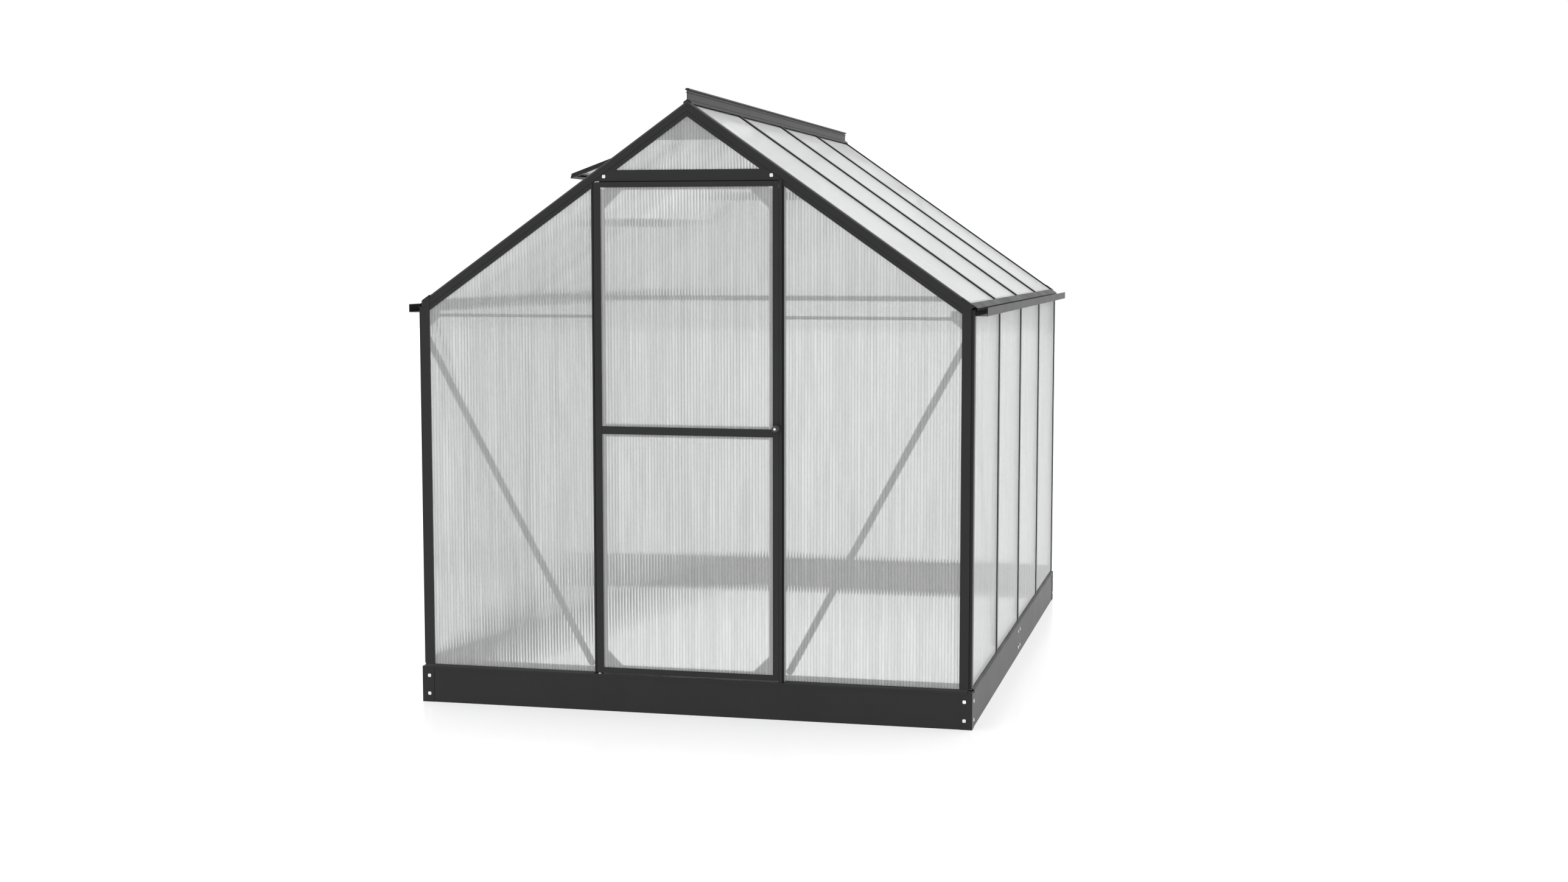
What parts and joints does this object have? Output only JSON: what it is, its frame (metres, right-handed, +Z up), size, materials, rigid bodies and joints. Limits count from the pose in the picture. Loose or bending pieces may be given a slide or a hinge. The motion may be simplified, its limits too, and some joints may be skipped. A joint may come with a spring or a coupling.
{
  "type": "walk-in greenhouse",
  "caption": "Walk-in apex greenhouse with twin-wall sheets in a dark coated frame, hinged door, roof vent, eave gutters and a steel foundation.",
  "frame": {"origin": "centre of the foundation's footprint, on the ground", "axes": "+X right seen from the door, +Y from the door gable to the rear gable and along the ridge, +Z up"},
  "size_m": [1.9, 2.5398, 1.994],
  "materials": {
    "coated_frame": "anthracite powder coat on aluminium, satin",
    "foundation_steel": "anthracite powder coat on steel sheet, satin",
    "twin_wall_sheet": "clear twin-wall polycarbonate, hazy, fluted",
    "zinc_bolts": "bright zinc plate",
    "zinc_steel": "dull zinc plate",
    "knob_plastic": "dark moulded plastic, fine grain"
  },
  "bodies": {
    "house": {"apex_plates": "coated_frame", "bolts": "zinc_bolts", "corner_post_front_left": "coated_frame", "corner_post_front_right": "coated_frame", "corner_post_rear_left": "coated_frame", "corner_post_rear_right": "coated_frame", "door_pivot_pins": "zinc_steel", "door_post_hinge_side": "coated_frame", "door_post_latch_side": "coated_frame", "eave_corner_caps": "coated_frame", "eave_flashings": "coated_frame", "eave_gussets": "coated_frame", "eave_gutter_left": "coated_frame", "eave_gutter_right": "coated_frame", "foundation_corner_angles": "foundation_steel", "foundation_front": "foundation_steel", "foundation_left": "foundation_steel", "foundation_rear": "foundation_steel", "foundation_right": "foundation_steel", "front_sheets": "twin_wall_sheet", "gable_braces": "coated_frame", "gable_girts": "coated_frame", "header_front": "coated_frame", "header_rear": "coated_frame", "rafter_front_left": "coated_frame", "rafter_front_right": "coated_frame", "rafter_rear_left": "coated_frame", "rafter_rear_right": "coated_frame", "rear_gable_bars": "coated_frame", "rear_sheets": "twin_wall_sheet", "ridge_beam": "coated_frame", "roof_bars_left": "coated_frame", "roof_bars_right": "coated_frame", "roof_sheets_left": "twin_wall_sheet", "roof_sheets_right": "twin_wall_sheet", "side_braces": "coated_frame", "sill_front": "coated_frame", "sill_left": "coated_frame", "sill_rear": "coated_frame", "sill_right": "coated_frame", "vent_hinge_rod": "zinc_steel", "vent_peg_bracket": "coated_frame", "vent_sill_bar": "coated_frame", "wall_bars_left": "coated_frame", "wall_bars_right": "coated_frame", "wall_sheets_left": "twin_wall_sheet", "wall_sheets_right": "twin_wall_sheet"},
    "door": {"door_hinge_stile": "coated_frame", "door_lock_stile": "coated_frame", "door_rails": "coated_frame", "door_sheets": "twin_wall_sheet", "door_gussets": "coated_frame"},
    "latch": {"door_knob": "knob_plastic", "door_knob_bolt": "zinc_bolts", "door_latch_tongue": "coated_frame"},
    "vent": {"vent_hinge_rail": "coated_frame", "vent_side_rails": "coated_frame", "vent_bottom_rail": "coated_frame", "vent_sheet": "twin_wall_sheet"},
    "vent_stay": {"vent_stay": "coated_frame"}
  },
  "joints": [
    {"name": "door_hinge", "type": "hinge", "parent": "house", "child": "door", "pos_m": [-0.3, -1.245, 0.9], "axis": [0, 0, -1], "range_deg": [0, 110]},
    {"name": "latch_turn", "type": "hinge", "parent": "door", "child": "latch", "pos_m": [0.29, -1.25, 0.9309], "axis": [0, -1, 0], "range_deg": [0, 90]},
    {"name": "vent_hinge", "type": "hinge", "parent": "house", "child": "vent", "pos_m": [-0.01, -0.308, 1.96204], "axis": [0, 1, 0], "range_deg": [-15.3, 19.7]},
    {"name": "stay_pivot", "type": "hinge", "parent": "vent", "child": "vent_stay", "pos_m": [-0.56853, -0.308, 1.74504], "axis": [0, -1, 0], "range_deg": [0, 75]}
  ]
}
